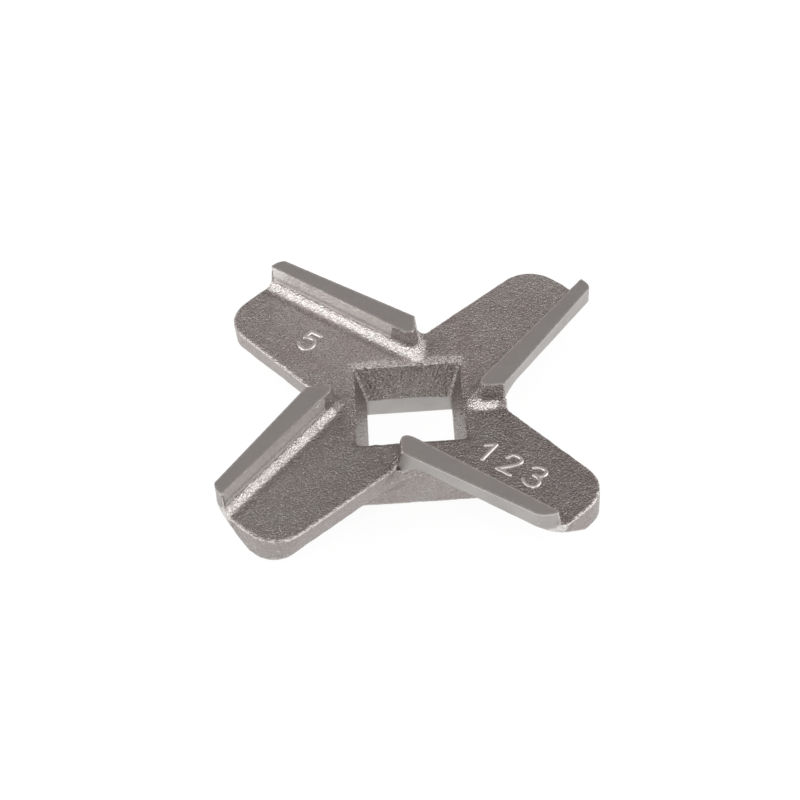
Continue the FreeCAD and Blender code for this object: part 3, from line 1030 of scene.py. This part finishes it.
# %% Floor
def make_floor():
    """A wide plain sheet, 6 m across, a hair below the hub so that the two faces stay apart."""
    half = 3.0
    low = -0.02 * MM
    corners = [(-half, -half, low), (half, -half, low), (half, half, low), (-half, half, low)]
    mesh = bpy.data.meshes.new("floor")
    mesh.from_pydata(corners, [], [(0, 1, 2, 3)])
    made = bpy.data.objects.new("floor", mesh)
    bpy.context.scene.collection.objects.link(made)
    material = bpy.data.materials.new("pale_floor")
    material.use_nodes = True
    tree = material.node_tree
    tree.nodes.clear()
    paths = place(tree, "ShaderNodeLightPath")
    seen = math_node(tree, "MAXIMUM", paths.outputs["Is Camera Ray"], paths.outputs["Is Glossy Ray"])
    seen = math_node(tree, "MAXIMUM", seen, paths.outputs["Is Transmission Ray"])
    plain = place(tree, "ShaderNodeBsdfDiffuse", Color=(0.85, 0.85, 0.85, 1))
    shaded = place(tree, "ShaderNodeBsdfDiffuse", Color=(0.14, 0.14, 0.14, 1))
    glow = place(tree, "ShaderNodeEmission", Color=(1, 1, 1, 1), Strength=0.91)
    white = place(tree, "ShaderNodeAddShader", i0=shaded.outputs[0], i1=glow.outputs[0])
    choice = place(tree, "ShaderNodeMixShader", i0=seen, i1=plain.outputs[0], i2=white.outputs[0])
    output = place(tree, "ShaderNodeOutputMaterial")
    tree.links.new(choice.outputs[0], output.inputs["Surface"])
    mesh.materials.append(material)
    return made


floor = make_floor()
print("floor at height", floor.data.vertices[0].co.z)

# %% Lights
def soft_light(name, azimuth, elevation, distance, size, radiance):
    """A square soft light that faces the knife. Its power is its radiance times its area times pi."""
    lamp = bpy.data.lights.new(name, "AREA")
    lamp.shape = "SQUARE"
    lamp.size = size
    lamp.energy = radiance * math.pi * size * size
    made = bpy.data.objects.new(name, lamp)
    bpy.context.scene.collection.objects.link(made)
    a, e = math.radians(azimuth), math.radians(elevation)
    towards = Vector((math.cos(e) * math.sin(a), math.cos(e) * math.cos(a), math.sin(e)))
    made.location = towards * distance
    made.rotation_euler = towards.to_track_quat("Z", "Y").to_euler()
    return made


lamps = [
    soft_light("left_light", -100, 32, 0.6, 0.5, 1.9),
    soft_light("right_light", 95, 28, 0.6, 0.5, 1.9),
    soft_light("front_light", 180, 62, 0.7, 0.45, 1.4),
]
world = bpy.data.worlds.new("studio")
world.use_nodes = True
world.node_tree.nodes["Background"].inputs["Color"].default_value = (0.50, 0.478, 0.472, 1)
world.node_tree.nodes["Background"].inputs["Strength"].default_value = 1.0
bpy.context.scene.world = world
print("lights:", [lamp.name for lamp in lamps])

# %% Camera
# The photograph's width in pixels, and the lens's focal length in the same pixels.
PHOTO_WIDTH = 800
FOCAL_LENGTH = 2516.487
SENSOR_WIDTH = 36.0


def photo_camera():
    """The camera of the photograph, worked out from the knife's four equal arms.

    It looks along a line 45 degrees down, is tipped by 4 degrees about that line, and sees the point
    on the hole's axis in the arms' top plane a little right of and below the middle of the frame.
    """
    azimuth, elevation, tip = -0.0027886, 0.787589, -0.0688736
    axis_point = Vector((0.94395, 0.067595, 263.25777)) * MM
    turn = Matrix.Rotation(azimuth, 3, "Z")
    sine, cosine = math.sin(elevation), math.cos(elevation)
    level = Matrix(((1, 0, 0), (0, -sine, -cosine), (0, cosine, -sine)))
    roll = Matrix.Rotation(tip, 3, "Z")
    view = roll @ level @ turn
    place_of = Vector((0, 0, ARM_TOP * MM)) - view.transposed() @ axis_point
    right, down, ahead = (Vector(row) for row in view)
    pose = Matrix((right, -down, -ahead)).transposed().to_4x4()
    pose.translation = place_of
    data = bpy.data.cameras.new("photo_camera")
    data.sensor_fit = "HORIZONTAL"
    data.sensor_width = SENSOR_WIDTH
    data.lens = FOCAL_LENGTH * SENSOR_WIDTH / PHOTO_WIDTH
    data.clip_start = 0.01
    made = bpy.data.objects.new("photo_camera", data)
    bpy.context.scene.collection.objects.link(made)
    made.matrix_world = pose
    return made


camera = photo_camera()
bpy.context.scene.camera = camera
bpy.context.scene.view_settings.view_transform = "Standard"
print("camera stands", [round(v * 1000) for v in camera.location], "mm from the hub")
